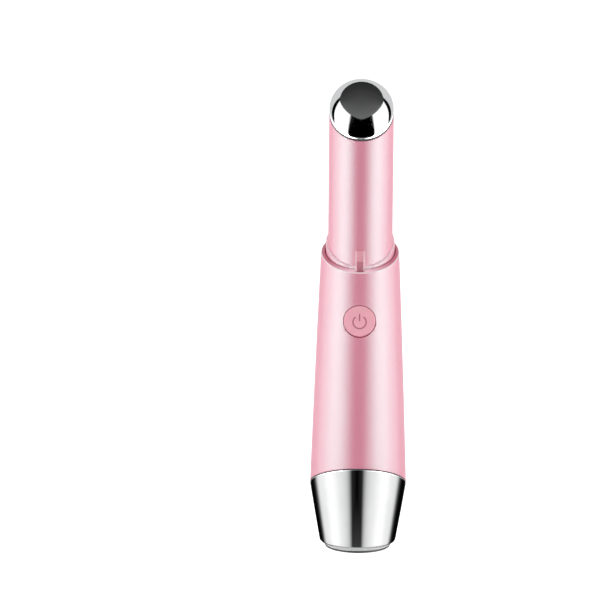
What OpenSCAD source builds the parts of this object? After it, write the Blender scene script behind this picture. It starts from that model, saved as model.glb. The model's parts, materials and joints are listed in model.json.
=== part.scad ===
// Heated eye massager wand, standing on its charging base.
// Millimetres. +Z is up, the button faces -Y, the origin is the middle of the foot's underside.
// Slanted planes are given as their height on the axis and their rise along +Y.

/* [Handle] */
// Handle radius at the upper rim
handle_top_r = 10.15; // [9.8:0.05:10.6]
// Height of the upper rim on the axis
rim_z = 78.7; // [77:0.1:80]
// Rise of the upper rim towards the back
rim_rise = 0.355; // [0.25:0.005:0.4]
// Wall of the handle shell
shell_wall = 1.5; // [1.2:0.1:1.6]
// Outer radius of the groove inside the rim, which holds the soft ring
ring_r = 9.85; // [9.6:0.05:9.9]
// Depth of that groove below the rim
ring_depth = 1.5; // [0.8:0.1:1.8]

/* [Collar] */
// Outer radius of the collar sleeve
sleeve_r = 8.95; // [8.8:0.05:9]
// Height of the sleeve's rim on the axis
sleeve_z = 81.3; // [80:0.1:82]
// Rise of the sleeve's rim towards the back
sleeve_rise = 0.56; // [0.5:0.01:0.75]
// Width of the locating key on the front of the sleeve
key_w = 2.45; // [2:0.05:3]
// Height of the top of the locating key
key_top_z = 80.5; // [79.5:0.1:81]
// Radius that the face of the locating key reaches
key_r = 9.45; // [9.3:0.05:9.5]

/* [Head] */
// Outer radius of the head tube
tube_r = 8.35; // [8.2:0.05:8.4]
// Wall of the head tube
tube_wall = 1; // [0.8:0.1:1.1]
// Height of the tube's slanted cut on the axis
cut_z = 115.1; // [114.5:0.1:115.3]
// Rise of the tube's cut towards the back
cut_rise = 0.72; // [0.68:0.01:0.72]
// Height of the edge of the metal face on the axis
face_z = 115.85; // [115.8:0.05:116.5]
// Rise of the metal face towards the back
face_rise = 0.74; // [0.72:0.01:0.75]
// How far the middle of the metal face domes up
face_dome = 2.4; // [1.8:0.1:3]
// Squareness of the dome, where 2 is an ellipse
face_fullness = 2.6; // [2:0.1:4]
// Thickness of the seal under the metal head
head_seal_t = 0.5; // [0.2:0.05:0.5]

/* [Base] */
// Height of the parting line on the axis
parting_z = 17.1; // [16:0.1:18]
// Drop of the parting line towards the back
parting_drop = 0.52; // [0.4:0.01:0.6]
// Radius of the base cup at its bottom
cup_r = 10; // [9.8:0.1:10.4]
// Rounding of the cup's bottom edge
cup_round = 0.6; // [0.4:0.1:1]
// Outward bulge of the cup's wall
cup_bulge = 0.04; // [0:0.02:0.2]
// Thickness of the seal along the parting line
base_seal_t = 0.36; // [0.2:0.02:0.4]
// Radius of the foot
foot_r = 8.55; // [8.3:0.05:8.7]
// Height of the foot that shows
foot_h = 1.4; // [1.2:0.1:1.6]

/* [Button] */
// Radius of the power button
button_r = 4.12; // [3.9:0.02:4.3]
// Height of the middle of the button
button_z = 62.4; // [61.5:0.1:63]
// Gap round the button
button_gap = 0.16; // [0.12:0.02:0.3]
// Depth of the dish in the button's face
button_dish = 0.25; // [0.1:0.05:0.4]

/* [Inside] */
// Radius of the battery
battery_r = 5; // [4.6:0.1:5]
// Width of the circuit board
board_w = 14; // [13:0.2:14]
// Radius of the vibration motor
motor_r = 3.5; // [3:0.1:3.5]
// Diameter of the wires
wire_d = 0.9; // [0.7:0.1:0.9]

/* [Hidden] */
$fn = 96;

sides = 72;            // sides of the lofted rings
far = 60;              // longer than any cut needs
handle_taper = 0.0457; // growth of the handle's radius per mm below the rim
handle_flare = -0.0001; // growth of that taper
flange_z = 67.2;       // underside of the flange that carries the collar and the tube
seat_z = 68.8;         // top of that flange
flange_r = 7.2;        // hole in that flange
bore_r = tube_r - tube_wall;
step_z = 86;           // step in the tube's bore that the motor holder stands on
seal_top_z = cut_z + head_seal_t;
key_low_z = 74.05;      // underside of the locating key
key_step_z = 77.8;      // top of the deep part of the key's channel
key_rib = 0.35;         // width of the ribs on both sides of that channel
pocket_r = 6.3;        // pocket inside the metal head
pocket_z = face_z + face_dome - 2;
film_t = 0.3;
film_r = 5.6;
pad_t = 1.5;
recess_z = 2.2;        // top of the recess in the cup that takes the foot
floor_z = 4.4;         // top of the cup's floor
plate_z = 6.4;         // top of the chassis plate
screw_y = 4.6;
fit = 0.02;            // clearance of a push fit
slot_w = 9.3;          // opening for the charging socket
slot_t = 3.6;
board_t = 1;
board_front = -2.63;
board_back = board_front + board_t;
board_low = 4.5;
board_high = 65.8;
battery_y = 4;
battery_low = 16.2;
battery_high = 59.6;
nub_z = 60;
tab_t = 0.2;
face_y = -10.55;       // outer face of the button at rest
boss_y = -7.1;         // flat end of the boss round the button hole
gasket_t = 0.6;
flange_front = boss_y + gasket_t + 0.1;
flange_back = flange_front + 0.6;
plunger_tip = -5.4;
switch_front = -4.4;
motor_low = 88.5;
motor_high = 104;
shaft_r = 0.5;
weight_low = 81;
weight_high = 85.5;
wire_r = wire_d / 2;

// Wire routes: one side of each pair, mirrored in X for the other
heater_route = [[0.9, 5.2, 119.1], [0.9, 5.2, 110], [0.9, 5.2, 98], [0.9, 5.2, 86],
    [0.9, 4.8, 76], [1.4, 3, 71.5], [1.9, 0.5, 69], [2.2, -1.6, 67.7], [2.2, -2.8, 67],
    [2.2, -3.08, 66], [2.2, -3.08, 64.8]];
motor_route = [[1.5, 1, 104], [1.5, 1.2, 105.6], [1.8, 2.2, 107], [2.1, 3.8, 107.2],
    [2.3, 4.7, 106], [2.3, 4.8, 104], [2.3, 4.8, 96], [2.3, 4.8, 86], [2.5, 4.6, 77],
    [3.4, 3, 71], [4.2, 0.4, 68.8], [4.6, -1.6, 67.7], [4.6, -2.8, 67],
    [4.6, -3.08, 66], [4.6, -3.08, 64.4]];
battery_top_route = [[1, 3, 60.2], [1, 3, 60.9], [1, 2.5, 61.9], [1, 1.4, 62.5],
    [1, 0, 62.6], [1, -1.63, 62.6]];
battery_low_route = [[-1, 2.4, 16], [-1, 2.4, 14], [-1, 2, 12.9], [-1, 1.2, 12.3],
    [-1, 0, 12.2], [-1, -1.63, 12.2]];

function handle_r(z) =
    let (t = rim_z - z) handle_top_r + handle_taper * t + handle_flare * t * t;

// Radius of the handle where a slanted plane meets it, at an angle round the axis
function slant_r(angle, z, rise, r = 12, rounds = 5) = rounds == 0 ? r :
    slant_r(angle, z, rise, handle_r(z + rise * r * sin(angle)), rounds - 1);

// One ring of a loft: a level circle whose points rise along +Y
function ring(r, z, rise) = [for (k = [0:sides - 1]) let (a = 360 * k / sides)
    [r * cos(a), r * sin(a), z + rise * r * sin(a)]];

// A point of the base cup's wall, from 0 at its bottom edge to 1 at the parting line
function cup_point(a, t) =
    let (top_r = slant_r(a, parting_z, -parting_drop),
        top_z = parting_z - base_seal_t / 2 - parting_drop * top_r * sin(a),
        low_z = foot_h + cup_round,
        r = cup_r + (top_r - cup_r) * t + cup_bulge * sin(180 * t))
    [r * cos(a), r * sin(a), low_z + (top_z - low_z) * t];
function cup_ring(t) = [for (k = [0:sides - 1]) cup_point(360 * k / sides, t)];

function mean(points) = [for (axis = [0:2]) [for (p = points) p[axis]] * [for (p = points) 1]]
    / len(points);

// Closed solid through a list of rings, from the lowest to the highest
module loft(rings) {
    n = len(rings[0]);
    m = len(rings);
    points = [for (r = rings) each r, mean(rings[0]), mean(rings[m - 1])];
    walls = [for (i = [0:m - 2], k = [0:n - 1]) let (j = (k + 1) % n, low = i * n, up = low + n)
        each [[low + k, up + j, low + j], [low + k, up + k, up + j]]];
    floor_faces = [for (k = [0:n - 1]) [n * m, k, (k + 1) % n]];
    roof_faces = [for (k = [0:n - 1]) [n * m + 1, n * (m - 1) + (k + 1) % n, n * (m - 1) + k]];
    polyhedron(points, concat(walls, floor_faces, roof_faces), convexity = 4);
}

function unit(v) = v / norm(v);

// Round wire along a route whose runs never point along X
module wire(route, r = wire_r, n = 8) {
    last = len(route) - 1;
    rings = [for (i = [0:last])
        let (along = unit(route[min(i + 1, last)] - route[max(i - 1, 0)]),
            side = unit(cross(along, [1, 0, 0])), other = cross(along, side))
        [for (k = [0:n - 1]) route[i] + r * (cos(360 * k / n) * side + sin(360 * k / n) * other)]];
    loft(rings);
}

// Everything above a slanted plane
module above(z, rise) {
    translate([0, 0, z]) rotate([atan(rise), 0, 0])
        translate([-far, -far, 0]) cube([2 * far, 2 * far, 2 * far]);
}

// A layer between two parallel slanted planes, measured along Z
module layer(z, rise, t) {
    difference() {
        above(z, rise);
        above(z + t, rise);
    }
}

module rod(r, low, high) {
    translate([0, 0, low]) cylinder(r = r, h = high - low);
}

// A round bar along Y between two depths, at the button's height
module bar(r, front, back) {
    translate([0, front, button_z]) rotate([-90, 0, 0]) cylinder(r = r, h = back - front);
}

module block(low, high) {
    translate(low) cube(high - low);
}

module slot_outline(w, t) {
    square([w - t, t], center = true);
    for (side = [-1, 1]) translate([side * (w - t) / 2, 0]) circle(d = t);
}

module handle_profile(inset, low, high, steps = 8) {
    outer = [for (k = [0:steps]) let (z = low + (high - low) * k / steps)
        [handle_r(z) - inset, z]];
    polygon(concat([[0, low]], outer, [[0, high]]));
}

module handle_shell() {
    color("#eeb4c4") difference() {
        union() {
            difference() {
                rotate_extrude() handle_profile(0, 8, 84);
                rotate_extrude() handle_profile(shell_wall, 7, flange_z);
            }
            intersection() {
                bar(button_r + button_gap + 1.3, -10, boss_y);
                rotate_extrude() handle_profile(0.7, 50, 70);
            }
        }
        rod(flange_r, flange_z - 1, far + 40);
        rod(sleeve_r, seat_z, far + 40);
        intersection() {
            rod(ring_r, seat_z, far + 40);
            above(rim_z - ring_depth, rim_rise);
        }
        bar(button_r + button_gap, -far, -5);
        above(rim_z, rim_rise);
        difference() {
            rod(far, -1, 40);
            above(parting_z + base_seal_t / 2, -parting_drop);
        }
    }
}

module collar_sleeve() {
    color("#e7a3b6") difference() {
        union() {
            difference() {
                rod(sleeve_r, seat_z, far + 40);
                above(sleeve_z, sleeve_rise);
            }
            rotate([0, -90, 0]) translate([0, 0, -key_w / 2]) linear_extrude(key_w)
                polygon([[key_low_z, -8], [key_low_z, -key_r], [key_top_z - 2, -key_r],
                    [key_top_z, -tube_r - 0.3], [key_top_z, -8]]);
        }
        rod(tube_r, seat_z - 1, far + 40);
        block([-key_w / 2 + key_rib, -far, key_low_z - 1],
            [key_w / 2 - key_rib, -sleeve_r - 0.05, key_step_z]);
        rotate([0, -90, 0]) translate([0, 0, -key_w / 2 + key_rib])
            linear_extrude(key_w - 2 * key_rib)
            polygon([[key_step_z - 0.1, -far], [key_step_z - 0.1, -key_r + 0.1],
                [key_top_z - 1.1, -sleeve_r], [key_top_z + 1, -sleeve_r], [key_top_z + 1, -far]]);
    }
}

module head_tube() {
    color("#eeb4c4") difference() {
        rod(tube_r, seat_z, 125);
        rod(bore_r - 0.35, seat_z - 1, 125);
        rod(bore_r, step_z, 125);
        above(cut_z, cut_rise);
    }
}

module head_seal() {
    color("#4a4446") intersection() {
        layer(cut_z, cut_rise, head_seal_t);
        difference() {
            rod(tube_r - 0.03, 100, 125);
            rod(bore_r, 99, 126);
        }
    }
}

// The metal head: a cylinder whose domed face is slanted as a whole, so that its edge
// stays tangent to the tube all round
module massage_head() {
    steps = 10;
    dome = [for (k = [0:steps - 1]) let (a = 90 - 88 * k / (steps - 1))
        ring(tube_r * pow(sin(a), 2 / face_fullness),
            face_z + face_dome * pow(cos(a), 2 / face_fullness), face_rise)];
    color("#c9cbce") difference() {
        union() {
            loft(concat([ring(tube_r, seal_top_z, cut_rise)], dome));
            intersection() {
                layer(seal_top_z - 3.5, cut_rise, 4);
                rod(bore_r - fit, 100, 125);
            }
        }
        difference() {
            rod(pocket_r, 100, 125);
            above(pocket_z, face_rise);
        }
    }
}

// The soft ring in the groove: it rises a little above the rim towards the collar, stands
// clear of the collar and is open at the front, where the locating key passes
module cap_ring() {
    low_z = rim_z - ring_depth;
    color("#c9808f") difference() {
        loft([ring(ring_r - fit, low_z, rim_rise), ring(ring_r - fit, rim_z - 0.1, rim_rise),
            ring(ring_r - 0.1, rim_z, rim_rise), ring(sleeve_r + 0.3, rim_z + 0.4, rim_rise)]);
        rod(sleeve_r + 0.2, 60, far + 40);
        block([-key_w / 2 - 0.08, -far, 60], [key_w / 2 + 0.08, 0, far + 40]);
    }
}

module base_cup() {
    round_steps = 5;
    edge = [for (k = [0:round_steps - 1]) let (a = 90 * k / round_steps)
        ring(cup_r - cup_round * (1 - sin(a)), foot_h + cup_round * (1 - cos(a)), 0)];
    wall = [for (k = [0:6]) cup_ring(k / 6)];
    color("#c9cbce") difference() {
        loft(concat(edge, wall));
        rotate_extrude() polygon([[0, floor_z], [8.9, floor_z], [10, 15], [10.85, 23.2],
            [10.85, 30], [0, 30]]);
        rod(7.7, 0, recess_z);
        translate([0, 0, -1]) linear_extrude(10) slot_outline(slot_w, slot_t);
        for (side = [-1, 1]) translate([0, side * screw_y, 0]) {
            rod(1.1, 1, 6);
            rod(1.7, 1, recess_z + 1.3);
        }
    }
}

module base_seal() {
    color("#3c3a3c") intersection() {
        layer(parting_z - base_seal_t / 2, -parting_drop, base_seal_t);
        difference() {
            rotate_extrude() handle_profile(0.05, 7, 26);
            rotate_extrude() handle_profile(shell_wall, 6, 27);
        }
    }
}

module foot_disc() {
    round_r = 0.3;
    color("#9b9da0") difference() {
        union() {
            rotate_extrude() polygon(concat([[0, 0]],
                [for (a = [0:22.5:90]) [foot_r - round_r * (1 - sin(a)), round_r * (1 - cos(a))]],
                [[foot_r, foot_h], [0, foot_h]]));
            rod(7.6, foot_h - 0.2, recess_z);
        }
        translate([0, 0, -1]) linear_extrude(5) slot_outline(slot_w, slot_t);
    }
}

module power_button() {
    dish_r = (button_r * button_r + button_dish * button_dish) / (2 * button_dish);
    color("#e9a8b8") difference() {
        union() {
            bar(button_r, face_y, flange_front + 0.1);
            bar(button_r + 0.95, flange_front, flange_back);
            bar(1, flange_back - 0.1, plunger_tip);
        }
        translate([0, face_y + button_dish - dish_r, button_z]) sphere(r = dish_r);
        bar(button_r - 1, face_y + 1.2, flange_back - 0.7);
    }
}

module button_gasket() {
    color("#8c8f94") difference() {
        bar(button_r + button_gap + 1.2, boss_y, boss_y + gasket_t);
        bar(button_r + 0.12, boss_y - 1, boss_y + gasket_t + 1);
        rod(far, flange_z - 0.05, far + 40);
    }
}

module switch_body() {
    color("#2b2b2e") difference() {
        block([-2.25, switch_front, button_z - 2.25], [2.25, board_front, button_z + 2.25]);
        bar(1.35, switch_front - 1, board_front - 0.5);
    }
}

module switch_plunger() {
    color("#d8d2c4") bar(1.25, plunger_tip, switch_front + 0.6);
}

module circuit_board() {
    color("#2f6b47") block([-board_w / 2, board_front, board_low],
        [board_w / 2, board_back, board_high]);
}

// Charger chip, controller chip, coil and capacitors on the front of the board
module board_parts() {
    chips = [[-0.5, 16, 4, 4], [0, 40, 5, 5]];
    caps = [[-4.4, 15], [-4.4, 18], [3.6, 16], [-4.4, 38], [-4.4, 42], [4.4, 38], [4.4, 42]];
    color("#26272b") {
        for (c = chips) block([c[0] - c[2] / 2, board_front - 0.9, c[1] - c[3] / 2],
            [c[0] + c[2] / 2, board_front, c[1] + c[3] / 2]);
        for (c = caps) block([c[0] - 0.4, board_front - 0.8, c[1] - 0.8],
            [c[0] + 0.4, board_front, c[1] + 0.8]);
        translate([0, board_front - 1.8, 27]) rotate([-90, 0, 0]) cylinder(r = 1.9, h = 1.8);
    }
}

module charge_socket() {
    color("#b9bcc0") difference() {
        translate([0, 0, 0.6]) linear_extrude(7.35) slot_outline(8.94, 3.26);
        linear_extrude(6.9) slot_outline(8.34, 2.66);
    }
}

module socket_tongue() {
    color("#1f2023") block([-3.35, -0.35, 1.6], [3.35, 0.35, 6.9]);
}

module chassis() {
    wall_levels = [14.5, 33, 51, 59.6];
    color("#e8e6e0") difference() {
        union() {
            rod(8.6, floor_z, plate_z);
            for (side = [-1, 1]) {
                translate([0, side * screw_y, 0]) rod(1.8, floor_z, 11);
                block([side * 7.1 - 0.8, -3.5, floor_z], [side * 7.1 + 0.8, -0.8, flange_z]);
            }
            for (z = wall_levels) intersection() {
                rod(8.9, z, z + 1.5);
                block([-far, -1.5, 0], [far, 7, far + 40]);
            }
        }
        block([-board_w / 2 - 0.05, board_front - 0.05, floor_z - 1],
            [board_w / 2 + 0.05, board_back + 0.05, far + 40]);
        translate([0, 0, floor_z - 1]) linear_extrude(4) slot_outline(slot_w, slot_t);
        translate([0, battery_y, 0]) rod(battery_r + 0.03, 16, battery_high);
        block([-3.2, -2, battery_high - 1], [3.2, 8, far + 40]);
        block([-2, -2, 13], [0, 3, 17]);
        block([-2.1, -2, 20], [2.1, 0.2, battery_high]);
        for (side = [-1, 1]) translate([0, side * screw_y, 0]) rod(0.95, floor_z - 1, 10);
    }
}

module battery_cell() {
    color("#4a90b8") translate([0, battery_y, 0]) {
        rod(battery_r, battery_low, battery_high);
        rod(1.8, battery_high - 0.1, nub_z);
    }
}

module battery_tabs() {
    color("#c7c9cb") {
        block([-1.6, 1.5, nub_z], [1.6, 5.8, nub_z + tab_t]);
        block([-1.6, 1.5, battery_low - tab_t], [1.6, 5.8, battery_low]);
    }
}

module battery_pad() {
    color("#3a3c40") difference() {
        block([-2, board_back, 22], [2, 0, 54]);
        translate([0, battery_y, 0]) rod(battery_r, 20, 56);
    }
}

module base_screws() {
    color("#b0b2b5") for (side = [-1, 1]) translate([0, side * screw_y, 0]) difference() {
        union() {
            rod(1.6, recess_z, recess_z + 1.3);
            rod(0.95, recess_z + 1.2, 9.5);
        }
        translate([0, 0, recess_z - 1]) cylinder(r = 0.8, h = 1.7, $fn = 6);
    }
}

module heater_film() {
    color("#b87333") intersection() {
        layer(pocket_z - film_t, face_rise, film_t);
        rod(film_r, 100, 125);
    }
}

module thermistor() {
    low = pocket_z - film_t - pad_t - 2 * face_rise + 0.05;
    color("#2e2e30") translate([0, -2, 0]) rod(0.7, low, low + 0.9);
}

module heater_pad() {
    color("#d9d4cc") difference() {
        intersection() {
            layer(pocket_z - film_t - pad_t, face_rise, pad_t);
            rod(pocket_r - 0.2, 100, 125);
        }
        translate([0, -2, 0]) rod(0.75, 100, 125);
        block([-1.6, 4.5, 100], [1.6, far, 125]);
    }
}

module motor_holder() {
    color("#dedbd3") difference() {
        union() {
            rod(bore_r - fit, step_z, 105);
            rod(pocket_r - 0.05, 104, 125);
        }
        above(pocket_z - film_t - pad_t, face_rise);
        rod(motor_r + fit, step_z + 1, 130);
        rod(2.4, step_z - 1, step_z + 2);
        block([-2.9, 4.2, step_z - 1], [2.9, far, 130]);
        block([-2.9, 0, 105], [2.9, far, 109.5]);
    }
}

module motor_can() {
    color("#bfc2c6") difference() {
        rod(motor_r, motor_low, motor_high);
        rod(shaft_r + 0.06, motor_low - 1, motor_low + 2);
    }
}

module motor_end_cap() {
    color("#2d2d30") difference() {
        union() {
            rod(motor_r, step_z + 1, motor_low);
            rod(1.2, step_z + 0.4, step_z + 1.5);
        }
        rod(shaft_r + 0.06, step_z - 1, motor_low + 1);
    }
}

module motor_shaft() {
    color("#9fa2a6") rod(shaft_r, weight_low - 0.3, motor_low + 1.8);
}

module eccentric_weight() {
    color("#77797d") difference() {
        union() {
            intersection() {
                rod(3.2, weight_low, weight_high);
                block([-far, -far, 0], [far, -0.2, 100]);
            }
            rod(1.3, weight_low, weight_high);
        }
        rod(shaft_r, weight_low - 1, weight_high + 1);
    }
}

module wire_pair(route) {
    wire(route);
    mirror([1, 0, 0]) wire(route);
}

module heater_leads() {
    color("#f2ede4") wire_pair(heater_route);
}

module motor_leads() {
    color("#c23b3b") wire_pair(motor_route);
}

module battery_leads() {
    color("#8f1f24") {
        wire(battery_top_route);
        wire(battery_low_route);
    }
}

handle_shell();
collar_sleeve();
head_tube();
head_seal();
massage_head();
cap_ring();
base_cup();
base_seal();
foot_disc();
power_button();
button_gasket();
switch_body();
switch_plunger();
circuit_board();
board_parts();
charge_socket();
socket_tongue();
chassis();
battery_cell();
battery_tabs();
battery_pad();
base_screws();
heater_film();
thermistor();
heater_pad();
motor_holder();
motor_can();
motor_end_cap();
motor_shaft();
eccentric_weight();
heater_leads();
motor_leads();
battery_leads();
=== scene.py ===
# %% [markdown]
# # A heated eye massager wand
# A slim wand stands on its charging base: a flared pink handle, a thin pink collar, a straight
# pink tube and a polished metal head that is cut at a slant. The base is a chrome cup on a grey
# foot. The solid parts come from CAD, already in metres and in their places. Around them this
# script makes the visible skins again, with rounded edges, and gives every part its finish.

import bmesh
import bpy
import json
import math
from functools import partialmethod
from mathutils import Euler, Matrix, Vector

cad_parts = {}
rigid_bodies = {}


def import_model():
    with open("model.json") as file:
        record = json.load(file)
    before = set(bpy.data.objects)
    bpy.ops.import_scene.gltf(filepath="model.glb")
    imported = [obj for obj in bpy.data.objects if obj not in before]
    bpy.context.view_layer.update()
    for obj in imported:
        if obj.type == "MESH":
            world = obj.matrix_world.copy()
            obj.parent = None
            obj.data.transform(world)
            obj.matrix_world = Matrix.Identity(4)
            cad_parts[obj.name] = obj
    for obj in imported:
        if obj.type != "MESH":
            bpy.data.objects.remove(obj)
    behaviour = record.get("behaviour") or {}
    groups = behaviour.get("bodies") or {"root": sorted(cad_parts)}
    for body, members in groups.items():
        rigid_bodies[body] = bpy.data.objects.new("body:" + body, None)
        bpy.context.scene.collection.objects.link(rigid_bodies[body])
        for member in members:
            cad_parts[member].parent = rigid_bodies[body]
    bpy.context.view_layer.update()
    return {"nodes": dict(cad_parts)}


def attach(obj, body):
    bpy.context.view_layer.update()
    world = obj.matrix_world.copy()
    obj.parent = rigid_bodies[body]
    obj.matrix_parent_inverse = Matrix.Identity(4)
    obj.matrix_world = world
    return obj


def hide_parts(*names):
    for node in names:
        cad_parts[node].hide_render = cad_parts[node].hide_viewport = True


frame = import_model()
nodes = frame["nodes"]
MM = 0.001

# %% [markdown]
# ## The camera
# The photograph looks down at the wand by about 12 degrees, from far away, so the wand's sides
# stay almost parallel. A long lens does the same. The wand stands right of the middle of the
# picture, which is what the lens shift is for: turning the camera would change the perspective.

# %% Place the camera
CAMERA_DISTANCE = 1.15
CAMERA_ELEVATION = math.radians(12.0)
CAMERA_ROLL = math.radians(0.55)
LOOK_AT = Vector((0, 0, 0.0613))

camera_data = bpy.data.cameras.new("product_camera")
camera_data.lens = 265
camera_data.sensor_width = 36
camera_data.shift_x = -0.0993
camera_data.shift_y = 0.0285
camera_data.clip_end = 20
camera = bpy.data.objects.new("product_camera", camera_data)
bpy.context.scene.collection.objects.link(camera)
toward_camera = Vector((0, -math.cos(CAMERA_ELEVATION), math.sin(CAMERA_ELEVATION)))
camera.location = LOOK_AT + CAMERA_DISTANCE * toward_camera
facing = (-toward_camera).to_track_quat("-Z", "Y")
camera.rotation_euler = (facing @ Euler((0, 0, CAMERA_ROLL)).to_quaternion()).to_euler()
bpy.context.scene.camera = camera
bpy.context.scene.view_settings.view_transform = "Standard"
print("camera at", [round(x, 3) for x in camera.location])

# %% [markdown]
# ## Sizes
# The wand is round, so most pieces are a profile that is turned about the upright axis. Several
# joints lie on slanted planes. Each plane is named by its height on the axis and by how much it
# rises towards the back. The handle's flare is a short formula.

# %% Name the sizes, in millimetres
HANDLE_TOP_R = 10.15
RIM_Z, RIM_RISE = 78.7, 0.355
GROOVE_R, GROOVE_DEPTH = 9.85, 1.5
SEAT_Z, FLANGE_Z, FLANGE_R = 68.8, 67.2, 7.2
SHELL_WALL = 1.5
SLEEVE_R, SLEEVE_Z, SLEEVE_RISE = 8.95, 81.3, 0.56
TUBE_R, TUBE_WALL = 8.35, 1.0
CUT_Z, CUT_RISE = 115.1, 0.72
HEAD_SEAL_T = 0.5
FACE_Z, FACE_RISE, FACE_DOME, FACE_FULLNESS = 115.85, 0.74, 2.4, 2.6
PARTING_Z, PARTING_RISE, BASE_SEAL_T = 17.1, -0.52, 0.36
CUP_R, CUP_ROUND, CUP_BULGE, CUP_LOW_Z, CUP_FLOOR_Z = 10.0, 0.6, 0.04, 1.4, 4.4
FOOT_R, FOOT_ROUND, RECESS_R, RECESS_Z = 8.55, 0.3, 7.7, 2.2
BUTTON_R, BUTTON_Z, BUTTON_GAP, BUTTON_DISH = 4.12, 62.4, 0.16, 0.25
BUTTON_FACE_Y = -10.55
KEY_W, KEY_R, KEY_RIB = 2.45, 9.45, 0.35
KEY_LOW_Z, KEY_STEP_Z, KEY_TOP_Z = 74.05, 77.8, 80.5
TURN_STEPS, BUTTON_STEPS = 128, 96
FINE_EDGE, RIM_EDGE, TUBE_EDGE, COLLAR_EDGE, HEAD_EDGE = 0.1, 0.22, 0.12, 0.15, 0.28


def handle_r(z):
    """Radius of the flared handle at a height."""
    below = RIM_Z - z
    return HANDLE_TOP_R + 0.0457 * below - 0.0001 * below * below


print("handle radius at rim and base:", handle_r(RIM_Z), round(handle_r(PARTING_Z), 2))

# %% [markdown]
# ## Bench tools
# These helpers do by name what a modeller does by hand. The first ones start an empty piece,
# draw a profile by pulling one point out again and again, and turn it round an axis. Everything
# is deselected first, because an operator works on all that is selected.

# %% Helpers to draw and turn
def put_down():
    """Leaves edit mode, if a piece is being edited, and deselects everything."""
    if bpy.context.object and bpy.context.object.mode == "EDIT":
        bpy.ops.object.mode_set(mode="OBJECT")
    bpy.ops.object.select_all(action="DESELECT")


def start_piece(name):
    """An empty piece in edit mode, with its origin at the frame's origin."""
    put_down()
    bpy.ops.object.add(type="MESH", enter_editmode=True, location=(0, 0, 0))
    bpy.ops.mesh.select_mode(type="VERT")
    piece = bpy.context.object
    piece.name = name
    piece.data.name = name
    return piece


def draw_line(points):
    """One point, pulled along a list of places in millimetres."""
    places = [Vector(p) * MM for p in points]
    bpy.ops.mesh.select_mode(type="VERT")
    bpy.ops.mesh.select_all(action="DESELECT")
    bpy.ops.mesh.primitive_plane_add(size=MM, location=places[0])
    bpy.ops.mesh.merge(type="CENTER")
    for here, there in zip(places, places[1:]):
        bpy.ops.mesh.extrude_vertices_move(TRANSFORM_OT_translate={"value": there - here})


def merge_doubles():
    bpy.ops.mesh.remove_doubles(threshold=0.001 * MM)


def turn(points, center=(0, 0, 0), axis=(0, 0, 1), steps=TURN_STEPS):
    """Draws a profile and spins it into a round wall."""
    draw_line(points)
    bpy.ops.mesh.select_linked()
    bpy.ops.mesh.spin(steps=steps, angle=math.tau, center=Vector(center) * MM, axis=axis)
    bpy.ops.mesh.select_linked()
    merge_doubles()


def outward():
    """Turns all faces outwards."""
    bpy.ops.mesh.select_mode(type="FACE")
    bpy.ops.mesh.select_all(action="SELECT")
    bpy.ops.mesh.normals_make_consistent(inside=False)


def prism(name, outline, width):
    """A closed outline of (y, z) points in the middle plane, filled and pulled to both sides."""
    solid = start_piece(name)
    points = [(-width / 2, y, z) for y, z in outline]
    draw_line(points + points[:1])
    bpy.ops.mesh.select_linked()
    merge_doubles()
    bpy.ops.mesh.edge_face_add()
    bpy.ops.mesh.extrude_region_move(TRANSFORM_OT_translate={"value": (width * MM, 0, 0)})
    outward()
    return solid


print("a full turn has", TURN_STEPS, "steps")

# %% [markdown]
# Vertices and edges are picked in code by their place. A slanted plane is given by its height on
# the axis and its rise towards the back. A cut through an outer and an inner wall leaves two open
# round edges, and a bridge between them closes the piece. A shear lifts every point by its place
# along Y and keeps upright walls upright. It is the same as a turn, a stretch and a turn back.

# %% Helpers to pick, cut and shear
def pick(piece, test, mode="VERT"):
    """Selects the vertices or edges whose corners, in millimetres, all pass the test."""
    bpy.ops.mesh.select_mode(type=mode)
    bpy.ops.mesh.select_all(action="DESELECT")
    mesh = bmesh.from_edit_mesh(piece.data)
    found = 0
    for item in {"VERT": mesh.verts, "EDGE": mesh.edges}[mode]:
        corners = [item] if mode == "VERT" else item.verts
        if all(test(corner.co / MM) for corner in corners):
            item.select_set(True)
            found += 1
    mesh.select_flush_mode()
    bmesh.update_edit_mesh(piece.data)
    return found


def radius(point):
    return math.hypot(point.x, point.y)


def above_plane(point, z, rise):
    """How far a point is above a slanted plane, measured upright."""
    return point.z - z - rise * point.y


def on_plane(point, z, rise):
    return abs(above_plane(point, z, rise)) < 0.002


def slice_off(z, rise, keep="below"):
    """Cuts all at a slanted plane and keeps one side."""
    bpy.ops.mesh.select_all(action="SELECT")
    bpy.ops.mesh.bisect(plane_co=(0, 0, z * MM), plane_no=(0, -rise, 1),
                        clear_outer=keep == "below", clear_inner=keep == "above",
                        threshold=0.0005 * MM)


def slice_and_close(piece, z, rise, keep="below"):
    """Cuts an outer and an inner wall, and bridges the two edges that this leaves.

    The outer wall is drawn upwards and the inner one downwards, or the bridge crosses over.
    """
    slice_off(z, rise, keep)
    pick(piece, lambda p: on_plane(p, z, rise))
    bpy.ops.mesh.bridge_edge_loops()


def shear_up(rise, z):
    """Lifts the whole mesh by rise times Y, about a height on the axis."""
    about = {"orient_type": "GLOBAL", "center_override": (0, 0, z * MM)}
    first_turn = math.atan2(2, rise) / 2
    longer = math.sqrt(1 + rise * rise / 4) + rise / 2
    bpy.ops.mesh.select_all(action="SELECT")
    bpy.ops.transform.rotate(value=first_turn, orient_axis="X", **about)
    bpy.ops.transform.resize(value=(1, longer, 1 / longer), **about)
    bpy.ops.transform.rotate(value=first_turn - math.radians(90), orient_axis="X", **about)


print("places are picked to within 0.002 mm of a plane")
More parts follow.
